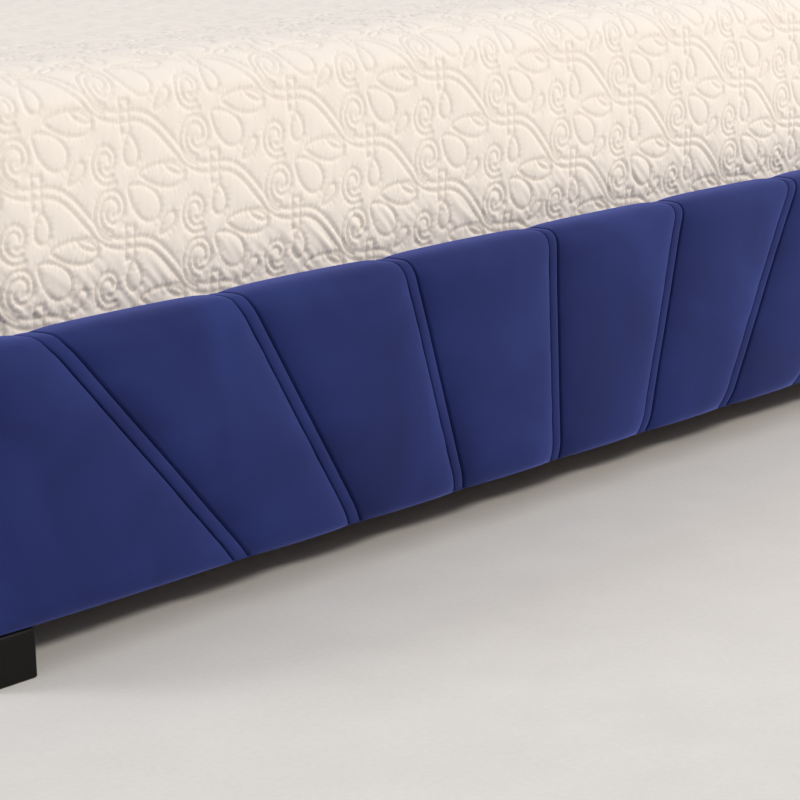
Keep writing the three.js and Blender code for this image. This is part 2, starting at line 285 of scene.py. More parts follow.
# offsets are the columns' distances from a seam in mm, and between and ends are the columns between two seams
# and round an end. The face keeps one row in faceEvery, and the back one in backEvery of those.
fineGrid = dict(
    offsets=[0, 2.6, 4.8, 6.2, 6.8, 7.15, 7.4, 7.65, 7.9, 8.15, 8.5, 9.1, 10.3, 12, 14.5, 18, 23, 30, 40],
    between=10, ends=7, faceEvery=1, backEvery=12,
)
coarseGrid = dict(offsets=[0, 7.65, 13, 24], between=4, ends=4, faceEvery=4, backEvery=3)
# foot and slope are the seams' spacing at a panel's foot and its growth with height, reach is the last seam's
# number to each side, and proud is how far the pads stand past the cover's box
fans = {
    "footboard": dict(foot=164.3, slope=0.3096, reach=3, proud=5),
    "headboard": dict(foot=72.0, slope=0.1516, reach=3, proud=0),
    "plain": dict(foot=0.0, slope=0.0, reach=-1, proud=0),
}


def ellipseArc(centre, deep, tall, start, stop, count, power=2):
    # A stretch of |x / deep| ^ power + |z / tall| ^ power = 1, where (x, z) = (deep cos a, tall sin a) with
    # each cosine and sine raised to 2 / power. Its normal is that sum's slope. A power over 2 squares it up.
    angle = np.radians(np.linspace(start, stop, count))
    unit = np.stack([np.cos(angle), np.sin(angle)], -1)
    unit = np.sign(unit) * np.abs(unit) ** (2 / power)
    normal = np.sign(unit) * np.abs(unit) ** (power - 1) / [deep, tall]
    normal /= np.linalg.norm(normal, axis=1, keepdims=True)
    return np.concatenate([centre + unit * [deep, tall], normal], 1)


def straight(start, stop, normal, count):  # evenly spaced points between two places, all with one normal
    return np.concatenate([np.linspace(start, stop, count), np.broadcast_to(normal, (count, 2))], 1)


def sectionRing(depth, height, tall, faceRows, backEvery):
    # A panel's section as a closed ring: along its underside, a quarter ellipse, up the show face, half an
    # oval over the top, and the same down the back. Each point has its depth, height and normal. climb is the
    # length along the cloth, which is the same as the height on the show face.
    half, deep, foot = depth / 2, padding["footDeep"], padding["footTall"]
    under, bend, over = sectionRows["under"], sectionRows["foot"], sectionRows["top"]
    backRows = (faceRows - 1) // backEvery + 1
    parts = [
        straight((0, 0), (-half + deep, 0), (0, -1), under)[:-1],
        ellipseArc((-half + deep, foot), deep, foot, 270, 180, bend)[:-1],
        straight((-half, foot), (-half, height - tall), (-1, 0), faceRows)[:-1],
        ellipseArc((0, height - tall), half, tall, 180, 0, over, padding["topPower"])[:-1],
        straight((half, height - tall), (half, foot), (1, 0), backRows)[:-1],
        ellipseArc((half - deep, foot), deep, foot, 0, -90, bend)[:-1],
        straight((half - deep, 0), (0, 0), (0, -1), under)[:-1],
    ]
    ring = np.concatenate(parts)
    steps = np.linalg.norm(np.diff(ring[:, :2], axis=0), axis=1)
    climb = np.concatenate([[0], np.cumsum(steps)])
    return ring, climb - climb[faceStart] + foot


def capFaces(faceRows, backEvery, rows, columns, column, turned):
    # The flat end of a panel: each stretch of the back's outline joined to the same stretch of the front's.
    under, halfTop = sectionRows["under"], (sectionRows["top"] - 1) // 2
    top = faceStart + faceRows - 1
    back = top + 2 * halfTop
    backRows = (faceRows - 1) // backEvery
    pairs = [(list(range(under + 1)), list(range(rows - under, rows)))]
    pairs += [([i, i + 1], [rows - i - 1, rows - i]) for i in range(under, faceStart)]
    for step in range(backRows):
        first = faceStart + step * backEvery
        behind = back + backRows - step
        pairs.append((list(range(first, first + backEvery + 1)), [behind - 1, behind]))
    pairs += [([top + i, top + i + 1], [back - i - 1, back - i]) for i in range(halfTop)]
    faces = []
    for front, behind in pairs:
        loop = [row * columns + column for row in dict.fromkeys(front + behind)]
        faces.append(loop[::-1] if turned else loop)
    return faces


def panelColumns(fan, grid, climb, faceEnd, half):
    # Columns follow the seams at fixed distances, and share out the room between them. Past the face's end
    # the spacing grows only by 1 - exp(-length / fade), so the seams run almost straight over the top.
    fade = padding["fanFade"]
    over = np.maximum(climb - faceEnd, 0)
    spacing = fan["foot"] + fan["slope"] * (np.clip(climb, 0, faceEnd) + fade * (1 - np.exp(-over / fade)))
    numbers = range(-fan["reach"], fan["reach"] + 1) if fan["reach"] >= 0 else []
    seams = [(number * spacing, math.hypot(1, number * fan["slope"])) for number in numbers]
    sides = np.array([-offset for offset in grid["offsets"][:0:-1]] + grid["offsets"])
    share = np.linspace(0, 1, grid["between"])[:-1]
    left, groups = np.full_like(climb, -half), []
    for middle, tilt in seams:
        near = middle[:, None] + sides * tilt
        groups += [left[:, None] * (1 - share) + near[:, :1] * share, near[:, :-1]]
        left = near[:, -1]
    spans = 1 if seams else 5  # a plain panel is one wide span
    share = np.linspace(0, 1, spans * grid["between"])
    groups.append(left[:, None] * (1 - share) + half * share)
    return np.concatenate(groups, 1), seams


def panelRelief(x, climb, seams, half):
    # How far the cloth lies behind the flat face. Between two seams, at distances left and right from them,
    # it is crown * (|left - right| / (left + right)) ^ power, with lips of lip * exp(-distance / reach) and a
    # stitched groove of groove * exp(-(distance / grooveHalf) ^ 2). A seam has two grooves, and between them
    # is a low band of sink - rise * (1 - (distance from its middle / bandHalf) ^ 2).
    look, far = padding, 1e4
    left, right = np.full(x.shape, far), np.full(x.shape, far)
    for middle, tilt in seams:
        away = (x - middle[:, None]) / tilt
        left = np.where(away > 0, np.minimum(left, away), left)
        right = np.where(away <= 0, np.minimum(right, -away), right)
    nearest = np.minimum(left, right)
    band = nearest < look["bandHalf"]
    distance = np.abs(nearest - look["bandHalf"])
    left = np.minimum(left - look["bandHalf"], x + half)
    right = np.minimum(right - look["bandHalf"], half - x)
    side = np.abs(left - right) / np.maximum(left + right, 1)
    crown = look["crown"] * np.where(band, 1, side ** look["crownPower"])
    bandForm = look["bandSink"] - look["bandRise"] * (1 - (nearest / look["bandHalf"]) ** 2)
    lip = np.where(band, bandForm, look["lip"] * np.exp(-distance / look["lipReach"]))
    groove = look["groove"] * np.exp(-(distance / look["grooveHalf"]) ** 2)
    pull = ripples(x, climb[:, None] * look["pullTall"], look["pullWave"], 5) * look["pull"]
    pull = pull * np.exp(-distance / look["pullReach"]) * ~band
    soft = ripples(x, climb[:, None], look["softWave"], 6) * look["soft"]
    return crown, lip + groove + pull + soft


def panelSkin(box, fan, tall, faceRows, sink, grid):
    # One closed skin of a panel, sunk by a distance all round. Its points are across, deep and up, in mm.
    look = padding
    low, high = box
    depth, width = sorted([high[0] - low[0], high[1] - low[1]])
    height = high[2] - low[2]
    faceRows = (faceRows - 1) // grid["faceEvery"] + 1
    ring, climb = sectionRing(depth, height, tall, faceRows, grid["backEvery"])
    half = width / 2 - look["endRadius"]
    x, seams = panelColumns(fan, grid, climb, height - tall + look["faceOver"], half)
    crown, detail = panelRelief(x, climb, seams, half)
    overTop = climb[faceStart + faceRows - 1 + sectionRows["top"] - 1]
    behindTop = smoothStep(overTop, overTop + look["backFade"], climb)
    shown = (smoothStep(*look["footFade"], climb) * (1 - behindTop))[:, None]
    onTop = smoothStep(height - tall, height + look["topFade"], climb)[:, None]
    relief = crown * (look["backCrown"] + (1 - look["backCrown"]) * shown)
    relief *= 1 - (1 - look["topCrown"]) * onTop
    relief += detail * shown * (1 - (1 - look["topDetail"]) * onTop) - fan["proud"] * shown * (1 - onTop)
    angle = np.radians(np.linspace(0, 90, grid["ends"]))[1:]
    inset, out = look["endRadius"] * (1 - np.cos(angle)), half + look["endRadius"] * np.sin(angle)
    ones = np.ones((len(ring), 1))
    x = np.concatenate([-out[::-1] * ones, x, out * ones], 1) * (1 - 2 * sink / width)
    behind = np.concatenate([relief[:, :1] + inset[::-1], relief, relief[:, -1:] + inset], 1) + sink
    upward = np.maximum(ring[:, 3, None], 0)  # the underside stays flat, and a sunk skin's foot draws back
    inward = ring[:, 2, None].copy()
    if sink:
        lower = ring[:, 3] < 0
        inward[lower, 0] = np.clip(ring[lower, 0] / (depth / 2 - look["footDeep"]), -1, 1)
    deep = ring[:, 0, None] - inward * behind
    up = sink + ring[:, 1, None] * (1 - 2 * sink / height) - upward * (behind - sink) + low[2]
    rows, columns = x.shape
    faces = gridFaces(rows, columns, closed=True).tolist()
    faces += capFaces(faceRows, grid["backEvery"], rows, columns, 0, False)
    faces += capFaces(faceRows, grid["backEvery"], rows, columns, columns - 1, True)
    return np.stack([x, deep, up], -1).reshape(-1, 3), faces


def boxSkin(low, high):  # a plain box's eight corners and six faces
    corners = [[x, y, z] for x in (low[0], high[0]) for y in (low[1], high[1]) for z in (low[2], high[2])]
    faces = [[0, 1, 3, 2], [4, 6, 7, 5], [0, 4, 5, 1], [2, 3, 7, 6], [0, 2, 6, 4], [1, 5, 7, 3]]
    return np.array(corners), faces


def shellOf(outer, inner):  # an outer skin and a turned inner one, in one mesh
    shift = len(outer[0])
    turned = [[i + shift for i in face[::-1]] for face in inner[1]]
    return np.concatenate([outer[0], inner[0]]), outer[1] + turned


def makePanel(name, turn, fan, tall, faceRows, core):
    # The cover is a thin shell of velvet over a shell of foam, which is hollow where its timber stands. The
    # panel is made facing -y about its own middle, then turned about z and moved to its place.
    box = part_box(name + "_cover")
    middle = (np.array(box[0]) + np.array(box[1])) / 2 * [1, 1, 0]
    c, s = math.cos(turn), math.sin(turn)
    rotation = np.array([[c, s, 0], [-s, c, 0], [0, 0, 1]])
    thick, gap = padding["velvetThick"], padding["foamGap"]
    skins = []
    for sink, grid in ((0, fineGrid), (thick, coarseGrid), (thick + gap, coarseGrid)):
        points, faces = panelSkin(nodeBox(name + "_cover"), fans[fan], tall, faceRows, sink, grid)
        skins.append(((points * mm) @ rotation + middle, faces))
    lows, highs = zip(*[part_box(node) for node in core])
    cavity = boxSkin(np.min(lows, 0), np.max(highs, 0))
    for part, node, shell, material, slot in (
        ("velvet", "cover", shellOf(skins[0], skins[1]), velvet, "velvet"),
        ("padding", "foam", shellOf(skins[2], cavity), foam, "foam"),
    ):
        piece = makePiece(f"{name}_{part}", *shell, material, "frame", slot)
        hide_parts(f"{name}_{node}")


boards = ["face_board", "left_post", "right_post", "bottom_rail", "top_rail"]
makePanel("footboard", 0, "footboard", 32, 61, ["footboard_" + part for part in boards])
makePanel("headboard", 0, "headboard", 40, 121, ["headboard_" + part for part in boards])
makePanel("left_rail", -math.pi / 2, "plain", 28, 25, ["left_rail_board"])
makePanel("right_rail", math.pi / 2, "plain", 28, 25, ["right_rail_board"])
print("panels made")


# the mattress

def evenly(low, high, step, multiple=1):  # evenly spaced values about a step apart, a multiple of gaps in all
    count = max(1, round((high - low) / step / multiple)) * multiple
    return np.linspace(low, high, count + 1)


def pointKeys(points):  # one whole number for each place, to a fiftieth of a millimetre
    cell, nudge, span = 0.02, 0.137, 400000  # the nudge keeps round places off the cells' edges
    cells = np.round(points / cell + nudge).astype(np.int64) + span // 4
    return (cells[:, 0] * span + cells[:, 1]) * span + cells[:, 2]


def weldPatches(patches):
    # Points that share a place on the box become one. A quad whose edge has a finer neighbour's point halfway
    # along it takes that point in, so no gap opens where a coarse grid meets a fine one.
    boxes = np.concatenate([box.reshape(-1, 3) for box, _, _ in patches])
    cloths = np.concatenate([cloth.reshape(-1, 2) for _, cloth, _ in patches])
    keys, first, back = np.unique(pointKeys(boxes), return_index=True, return_inverse=True)
    box, cloth, back = boxes[first], cloths[first], back.reshape(-1)
    faces, start = [], 0
    for grid, _, turned in patches:
        rows, columns = grid.shape[:2]
        quads = back[gridFaces(rows, columns) + start]
        quads = quads[:, ::-1] if turned else quads
        start += rows * columns
        rim = np.ones((rows - 1, columns - 1), bool)
        rim[1:-1, 1:-1] = False
        rim = rim.reshape(-1)
        faces += quads[~rim].tolist()
        edges = quads[rim]
        middles = (box[edges] + box[np.roll(edges, -1, axis=1)]) / 2
        wanted = pointKeys(middles.reshape(-1, 3))
        found = np.minimum(np.searchsorted(keys, wanted), len(keys) - 1)
        extra = np.where(keys[found] == wanted, found, -1).reshape(-1, 4)
        for quad, added in zip(edges.tolist(), extra.tolist()):
            faces.append([point for pair in zip(quad, added) for point in pair if point >= 0])
    return box, cloth, faces


def roundedForm(box, low, high, radii):
    # core + normal * radii, where core is the nearest point of the box drawn in by its radii
    core = np.clip(box, low + radii, high - radii)
    out = (box - core) / radii
    normal = out / np.maximum(np.linalg.norm(out, axis=1, keepdims=True), 1e-9)
    return core + normal * radii, normal


def rectanglePath(low, high, corner, inset, step=12, turnPoints=13):
    # A rectangle with round corners, drawn in by an inset, as points and outward normals. A corner is
    # centre + radius * (cos, sin), and the rest is straight, in steps of about 12 mm.
    radius = corner - inset
    points, normals = [], []
    for number, (sideX, sideY) in enumerate(((1, 1), (-1, 1), (-1, -1), (1, -1))):
        angle = np.radians(np.linspace(0, 90, turnPoints) + 90 * number)
        normal = np.stack([np.cos(angle), np.sin(angle)], -1)
        centreX = high[0] - corner if sideX > 0 else low[0] + corner
        centreY = high[1] - corner if sideY > 0 else low[1] + corner
        points.append(np.array([centreX, centreY]) + radius * normal)
        normals.append(normal)
    points, normals = np.concatenate(points), np.concatenate(normals)
    lengths = np.linalg.norm(np.roll(points, -1, axis=0) - points, axis=1)
    pieces = [np.linspace(0, 1, max(1, round(length / step)), endpoint=False) for length in lengths]
    index = np.concatenate([np.full(len(piece), number) for number, piece in enumerate(pieces)])
    share = np.concatenate(pieces)[:, None]
    following = (index + 1) % len(points)
    return [ends[index] * (1 - share) + ends[following] * share for ends in (points, normals)]


def tubeAlong(path, height, across, tall, sides):
    # centre + across * cos(a) * normal, height + tall * sin(a), closed round the path
    points, normals = path
    angle = np.radians(np.arange(sides) * 360 / sides)
    plan = points[:, None] + across * np.cos(angle)[:, None] * normals[:, None]
    up = np.broadcast_to(height + tall * np.sin(angle), plan.shape[:2])
    tube = np.concatenate([plan, up[..., None]], -1)
    return tube.reshape(-1, 3) * mm, tubeFaces(len(points), sides, closed=True)


bedding = dict(  # in mm, but for the counts, air pressure and fill; the pad starts small, because it swells
    corner=60, edge=32, step=20, small=7, lowGap=1, most=6, tuftAcross=191, tuftAlong=203, tuftDeep=4,
    tuftWide=22, piping=4, pipingSides=10, pressure=4, frames=20, edgeHold=0.6, fill=0.85,
)


def swollen(piece, hold):
    # The pad blown up by its own air, with its tufts and taped edges held. No point moves more than most.
    start = np.array([vertex.co for vertex in piece.data.vertices])
    group = piece.vertex_groups.new(name="held")
    for weight in (1.0, bedding["edgeHold"]):
        group.add(np.nonzero(np.isclose(hold, weight))[0].tolist(), weight, "REPLACE")
    cloth = piece.modifiers.new("cloth", "CLOTH")
    cloth.settings.use_pressure = True
    cloth.settings.uniform_pressure_force = bedding["pressure"]
    cloth.settings.vertex_group_mass = "held"
    cloth.settings.effector_weights.gravity = 0
    cloth.point_cache.frame_end = bedding["frames"]
    for number in range(1, bedding["frames"] + 1):
        bpy.context.scene.frame_set(number)
    blown = piece.evaluated_get(bpy.context.evaluated_depsgraph_get()).data
    end = np.array([vertex.co for vertex in blown.vertices])
    piece.modifiers.remove(cloth)
    bpy.context.scene.frame_set(1)
    move = end - start
    far = np.linalg.norm(move, axis=1, keepdims=True)
    move = move * np.minimum(1, bedding["most"] * mm / np.maximum(far, 1e-9))
    piece.data.vertices.foreach_set("co", (start + move).ravel())
    piece.data.update()


def makeMattress():
    # A box carried onto its rounded form, with tufts sunk in the top by deep * exp(-(distance / wide) ^ 2).
    look = bedding
    outerLow, outerHigh = nodeBox("mattress")
    low, high = outerLow + look["small"], outerHigh - look["small"]
    low[2] = outerLow[2] + look["lowGap"]
    values = [evenly(low[axis], high[axis], look["step"]) for axis in range(3)]
    patches = []
    for axis, side in ((2, 1), (2, 0), (1, 0), (1, 1), (0, 0), (0, 1)):
        first, second = [other for other in range(3) if other != axis]
        across, along = values[first], values[second]
        box = np.empty((len(along), len(across), 3))
        box[..., axis] = (low, high)[side][axis]
        box[..., first], box[..., second] = np.meshgrid(across, along)
        patches.append((box, box[..., :2], (axis, side) in ((2, 0), (1, 1), (0, 0))))
    box, _, faces = weldPatches(patches)
    radii = np.array([look["corner"], look["corner"], look["edge"]], float)
    point, normal = roundedForm(box, low, high, radii)
    middleY = (low[1] + high[1]) / 2
    tuftX = np.abs((box[:, 0] / look["tuftAcross"] + 0.5) % 1 - 0.5) * look["tuftAcross"]
    tuftY = np.abs(((box[:, 1] - middleY) / look["tuftAlong"] + 0.5) % 1 - 0.5) * look["tuftAlong"]
    flat = np.abs(normal[:, 2]) > 0.99
    taped = np.abs(np.abs(normal[:, 2]) - 0.7) < 0.25  # round the edges, where the normal leans half way
    tuft = np.hypot(tuftX, tuftY)
    sunk = look["tuftDeep"] * np.exp(-(tuft / look["tuftWide"]) ** 2) * flat
    point -= normal * sunk[:, None] * (normal[:, 2:] > 0)
    pad = makePiece("mattress_pad", point * mm, faces, ticking, "mattress", "mattress_ticking")
    hold = np.where(flat & (tuft < 0.75 * look["step"]), 1.0, np.where(taped, look["edgeHold"], 0))
    swollen(pad, hold)
    soft = pad.modifiers.new("soft", "SUBSURF")
    soft.levels = soft.render_levels = 1
    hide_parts("mattress")
    inset = look["edge"] * (1 - math.sqrt(0.5))
    path = rectanglePath(low, high, look["corner"], inset)
    for edge, height in (("lower", low[2] + inset), ("upper", high[2] - inset)):
        piping = tubeAlong(path, height, look["piping"], look["piping"], look["pipingSides"])
        makePiece(f"mattress_{edge}_piping", *piping, ticking, "mattress", "mattress_ticking")


makeMattress()
print("mattress made")


# the coverlet

quilt = dict(  # in mm, but for the shares and counts
    tile=(226, 114), perMm=2, line=1.5, puffStart=0.5, puffReach=6.0, lift=2.9, upperLift=0.78,
    upperFade=(20, 110), rib=4.6, ribLift=0.24, ribAway=2.5, ribWide=3, crinkle=0.03, crinkleWave=11,
    near=240, nearFade=(150, 230), soften=14,
    fine=1.75, nearStep=2.1, farStep=3.75, tuckStep=5.0, backingScale=8,
    corner=66, edge=36, bulge=7, headBulge=0.3, bulgeWave=420, bulgeVary=0.22, topWave=420, topRise=1.2,
    gather=0.55, gatherWave=12, gatherFoot=(-12, 4), gatherTop=(10, 70), tucked=20, tuckFade=(-42, -24),
    cornerFade=45, thick=2.4, binding=(2.0, 6), bindingSides=16, bindingInset=0.8,
)


def spiral(centre, radius, pitch, start, turns):  # radius shrinks by pitch each clockwise turn
    s = np.linspace(0, turns, 400)
    angle = math.radians(start) - 2 * math.pi * s
    return np.array(centre) + (radius - pitch * s)[:, None] * np.stack([np.cos(angle), np.sin(angle)], -1)


def petal(tip, end, width):  # a drop: width / 2 * sin(t) * sin(t / 2) ^ 0.6 across, (1 - cos t) / 2 along
    tip, end, t = np.array(tip, float), np.array(end, float), np.linspace(0, 2 * math.pi, 300)[:, None]
    run = end - tip
    across = np.array([-run[1], run[0]]) / np.linalg.norm(run)
    return tip + run * (1 - np.cos(t)) / 2 + across * width / 2 * np.sin(t) * np.abs(np.sin(t / 2)) ** 0.6


def quiltLines():
    # One repeat's stitched lines in mm: a vine stepping down to the right in two lines, a short bar at each
    # joint, a curl of two lines above it and another below, and petals between them.
    t = np.linspace(0, 1, 400)
    vine = np.stack([113 * t, -57 * (t - np.sin(2 * np.pi * t) / (2 * np.pi))], -1)
    along = np.gradient(vine, axis=0)
    along /= np.linalg.norm(along, axis=1, keepdims=True)
    side = np.stack([-along[:, 1], along[:, 0]], -1)
    turn = 2 * np.pi * t
    barX, barY = np.clip(1.3 * np.cos(turn), -1, 1), np.clip(1.5 * np.sin(turn), -1, 1)
    bar = np.stack([5.6 * barX, 15 * barY], -1)
    lines = [vine + 4.6 * side, vine - 4.6 * side, bar]
    lines += [spiral((91, -26), radius, 15, -95, turns) for radius, turns in ((26, 1.2), (18.5, 0.95))]
    lines += [spiral((-27, -38), radius, 13.5, -60, turns) for radius, turns in ((22, 1.15), (15, 0.85))]
    lines += [petal((112, -6), (150, -36), 34), petal((4, -17), (5, -45), 22)]
    lines += [petal((14, -53), (72, -61), 26), petal((38, 3), (58, 20), 15), petal((-66, 9), (-40, 2), 13)]
    steps = [np.linalg.norm(np.diff(line, axis=0), axis=1) for line in lines]
    lengths = [np.concatenate([[0], np.cumsum(step)]) for step in steps]
    return np.concatenate(lines), np.concatenate(lengths)


def quiltTile():
    # The quilted cloth's height over one repeat, from 0 on a stitched line to 1 far from any: it climbs
    # steeply as 1 - exp(-(distance / line) ^ 2), then slowly as the wadding fills it, and puckers across the
    # line at uneven steps of a few mm. The pattern lies twice in a repeat, the second time half a repeat on.
    width, height = quilt["tile"]
    perMm, margin = quilt["perMm"], 24
    lines, lengths = quiltLines()
    lines = np.concatenate([lines, lines + [width / 2, -height / 2]]) % [width, height]
    copies = np.concatenate([lines + [i * width, j * height] for i in (-1, 0, 1) for j in (-1, 0, 1)])
    lengths = np.tile(lengths, 2 * 9)
    inside = np.all((copies > -margin) & (copies < [width + margin, height + margin]), axis=1)
    copies, lengths = copies[inside], lengths[inside]
    xs, ys = np.arange(width * perMm) / perMm, np.arange(height * perMm) / perMm
    distance, along = np.empty((len(ys), len(xs))), np.empty((len(ys), len(xs)))
    for row, y in enumerate(ys):
        near = np.abs(copies[:, 1] - y) < margin
        away = (xs[:, None] - copies[near, 0]) ** 2 + (y - copies[near, 1]) ** 2
        nearest = away.argmin(axis=1)
        distance[row] = np.sqrt(away[np.arange(len(xs)), nearest])
        along[row] = lengths[near][nearest]
    stitch = 1 - np.exp(-(distance / quilt["line"]) ** 2)
    wadding = quilt["puffStart"] + (1 - quilt["puffStart"]) * (1 - np.exp(-distance / quilt["puffReach"]))
    uneven = along + 1.5 * np.sin(along / 6.1) + 1.1 * np.sin(along / 2.9)
    beside = np.exp(-((distance - quilt["ribAway"]) / quilt["ribWide"]) ** 2)
    rib = quilt["ribLift"] * np.cos(2 * np.pi * uneven / quilt["rib"]) * beside
    return stitch * wadding + rib * stitch


def blurred(tile, passes):  # each pass is the mean of a point and its four neighbours, wrapped at the edges
    for _ in range(passes):
        tile = (tile + sum(np.roll(tile, shift, axis) for shift in (-1, 1) for axis in (0, 1))) / 5
    return tile


def sampleTile(tile, u, v):  # the repeat read at any place on the cloth, between its four nearest points
    rows, columns = tile.shape
    x, y = u * quilt["perMm"], v * quilt["perMm"]
    column, row = np.floor(x).astype(int), np.floor(y).astype(int)
    fx, fy = x - column, y - row
    c0, c1, r0, r1 = column % columns, (column + 1) % columns, row % rows, (row + 1) % rows
    lower = tile[r0, c0] * (1 - fx) + tile[r0, c1] * fx
    upper = tile[r1, c0] * (1 - fx) + tile[r1, c1] * fx
    return lower * (1 - fy) + upper * fy


def coverletPatches(low, high, exposed, scale=1):
    # The five faces of the coverlet's box as grids, fine on the foot drop and the top near it. Each point has
    # its place on the box and on the flat cloth, where every drop runs on from the top's edge.
    fineX = evenly(low[0], high[0], quilt["fine"] * scale, 2)
    coarseX = fineX[::2]
    fineZ = evenly(exposed, high[2], quilt["fine"] * scale, 2)
    tuckedZ = evenly(low[2], exposed, quilt["tuckStep"] * scale)
    coarseZ = np.concatenate([tuckedZ[:-1], fineZ[::2]])
    nearY = evenly(low[1], low[1] + quilt["near"], quilt["nearStep"] * scale, 2)
    farY = evenly(nearY[-1], high[1], quilt["farStep"] * scale)
    sideY = np.concatenate([nearY[::2], farY[1:]])
    patches = []

    def add(x, y, z, u, v, turned):
        x, y, z, u, v = np.broadcast_arrays(x, y, z, u, v)
        patches.append((np.stack([x, y, z], -1), np.stack([u, v], -1), turned))

    for xs, ys in ((fineX, nearY), (coarseX, farY)):
        add(xs[None, :], ys[:, None], high[2], xs[None, :], ys[:, None], False)
    for xs, zs in ((fineX, fineZ), (coarseX, tuckedZ)):
        down = high[2] - zs[:, None]
        add(xs[None, :], low[1], zs[:, None], xs[None, :], low[1] - down, False)
    down = high[2] - coarseZ[:, None]
    add(coarseX[None, :], high[1], coarseZ[:, None], coarseX[None, :], high[1] + down, True)
    for x, way, turned in ((low[0], -1, True), (high[0], 1, False)):
        add(x, sideY[None, :], coarseZ[:, None], x + way * down, sideY[None, :], turned)
    return patches


def drapedForm(box, cloth, low, high, frameTop):
    # The box's points carried onto its rounded form. Above the frame the drops swell out by
    # bulge * sin(pi * share of the height) ^ 0.8, where the frame grips them they gather in small folds, and
    # the top rises and falls a little.
    look = quilt
    radii = np.array([look["corner"], look["corner"], look["edge"]], float)
    point, normal = roundedForm(box, low - [0, 0, 2 * look["edge"]], high, radii)
    above = box[:, 2] - frameTop
    drop = 1 - smoothStep(high[2] - look["edge"], high[2], box[:, 2])
    sideways = normal[:, :2] / np.maximum(np.linalg.norm(normal[:, :2], axis=1, keepdims=True), 1e-9)
    around = cloth[:, 0] + cloth[:, 1]
    share = np.clip(above / (high[2] - frameTop), 0, 1)
    vary = 1 + look["bulgeVary"] * ripples(around, box[:, 2] * 0.3, look["bulgeWave"], 11)
    swell = look["bulge"] * np.sin(np.pi * share) ** 0.8 * vary
    swell *= 1 - (1 - look["headBulge"]) * np.clip(sideways[:, 1], 0, 1)  # the headboard stands close behind
    gathered = smoothStep(*look["gatherFoot"], above) * (1 - smoothStep(*look["gatherTop"], above)) * drop
    folds = ripples(around, box[:, 2] * 0.2, look["gatherWave"], 12) * look["gather"] * gathered
    point[:, :2] += sideways * (swell * drop + folds)[:, None]
    level = smoothStep(0.6, 1, normal[:, 2])
    point[:, 2] += level * ripples(box[:, 0], box[:, 1], look["topWave"], 13) * look["topRise"]
    return point, normal, drop, above


def makeCoverlet():
    look = quilt
    low, high = nodeBox("coverlet")
    high[2] -= look["lift"]
    frameTop = nodeBox("footboard_cover")[1][2]
    exposed = frameTop - look["tucked"]
    box, cloth, faces = weldPatches(coverletPatches(low, high, exposed))
    point, normal, drop, above = drapedForm(box, cloth, low, high, frameTop)
    sharp = quiltTile()
    soft = blurred(sharp, look["soften"])
    nearStart, nearEnd = look["nearFade"]
    nearFoot = 1 - smoothStep(low[1] + nearStart, low[1] + nearEnd, box[:, 1])
    relief = sampleTile(sharp, cloth[:, 0], cloth[:, 1]) * nearFoot
    relief += sampleTile(soft, cloth[:, 0], cloth[:, 1]) * (1 - nearFoot)
    crinkle = look["crinkle"] * ripples(cloth[:, 0], cloth[:, 1] * 0.22, look["crinkleWave"], 14) * nearFoot
    fromCorner = np.minimum(box[:, :2] - low[:2], high[:2] - box[:, :2]).max(axis=1)
    onCorner = (1 - smoothStep(0, look["cornerFade"], fromCorner)) * drop
    strength = (1 - onCorner) * smoothStep(*look["tuckFade"], above)
    gripped = 1 - smoothStep(*look["upperFade"], above)  # the tuck draws the stitches in
    drawn = look["upperLift"] + (1 - look["upperLift"]) * gripped
    point += normal * ((relief + crinkle) * drawn * look["lift"] * strength)[:, None]
    face = makePiece("coverlet_cloth", point * mm, faces, quilting, "mattress", "quilted_cotton")
    # painted shade for the colour: low on the stitched lines, where the grooves lie in shade, and 0.8 where
    # the relief fades out at the corners and the tuck
    paintedShadeLevel = (relief * drawn + 1 - drawn) * strength + 0.8 * (1 - strength)
    paintedStitchShade = face.data.attributes.new("paintedStitchShade", "FLOAT", "POINT")
    paintedStitchShade.data.foreach_set("value", paintedShadeLevel.astype(np.float32))
    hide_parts("coverlet")
    box, cloth, faces = weldPatches(coverletPatches(low, high, exposed, look["backingScale"]))
    point, normal, drop, above = drapedForm(box, cloth, low, high, frameTop)
    inner = (point - look["thick"] * normal) * mm
    backing = makePiece("coverlet_backing", inner, faces, quilting, "mattress", "quilted_cotton")
    rim = rectanglePath(low, high, look["corner"], look["bindingInset"])
    across, tall = look["binding"]
    edging = tubeAlong(rim, low[2] + tall, across, tall, look["bindingSides"])
    binding = makePiece("coverlet_binding", *edging, quilting, "mattress", "quilted_cotton")


makeCoverlet()
print("coverlet made")


# finishes of the pieces that stay as they are

def finishNode(name, material):
    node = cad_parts[name]
    node.data.materials.clear()
    node.data.materials.append(material)


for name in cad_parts:
    if name.startswith("slat") or name.endswith(("_top_rail", "_bottom_rail")):
        finishNode(name, pine["x"])
    elif name.endswith("_post"):
        finishNode(name, pine["z"])
    elif name.endswith("face_board"):
        finishNode(name, hardboard)
    elif name.endswith(("_board", "_ledger", "beam")):
        finishNode(name, pine["y"])
    elif name.endswith("support_leg"):
        finishNode(name, blackSteel)
    elif name.endswith("levelling_foot"):
        finishNode(name, blackNylon)
    elif name.endswith("_leg"):
        finishNode(name, blackPlastic)
    elif name.endswith(("_bracket", "_bolt", "_hanger")):
        finishNode(name, zincSteel)


def trimNode(name, width):  # a node's loose triangles joined, and its sharp edges eased
    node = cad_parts[name]
    weld = node.modifiers.new("weld", "WELD")
    weld.merge_threshold = 0.01 * mm
    ease = node.modifiers.new("ease", "BEVEL")
    ease.width = width * mm
    ease.segments = 2
    ease.limit_method = "ANGLE"


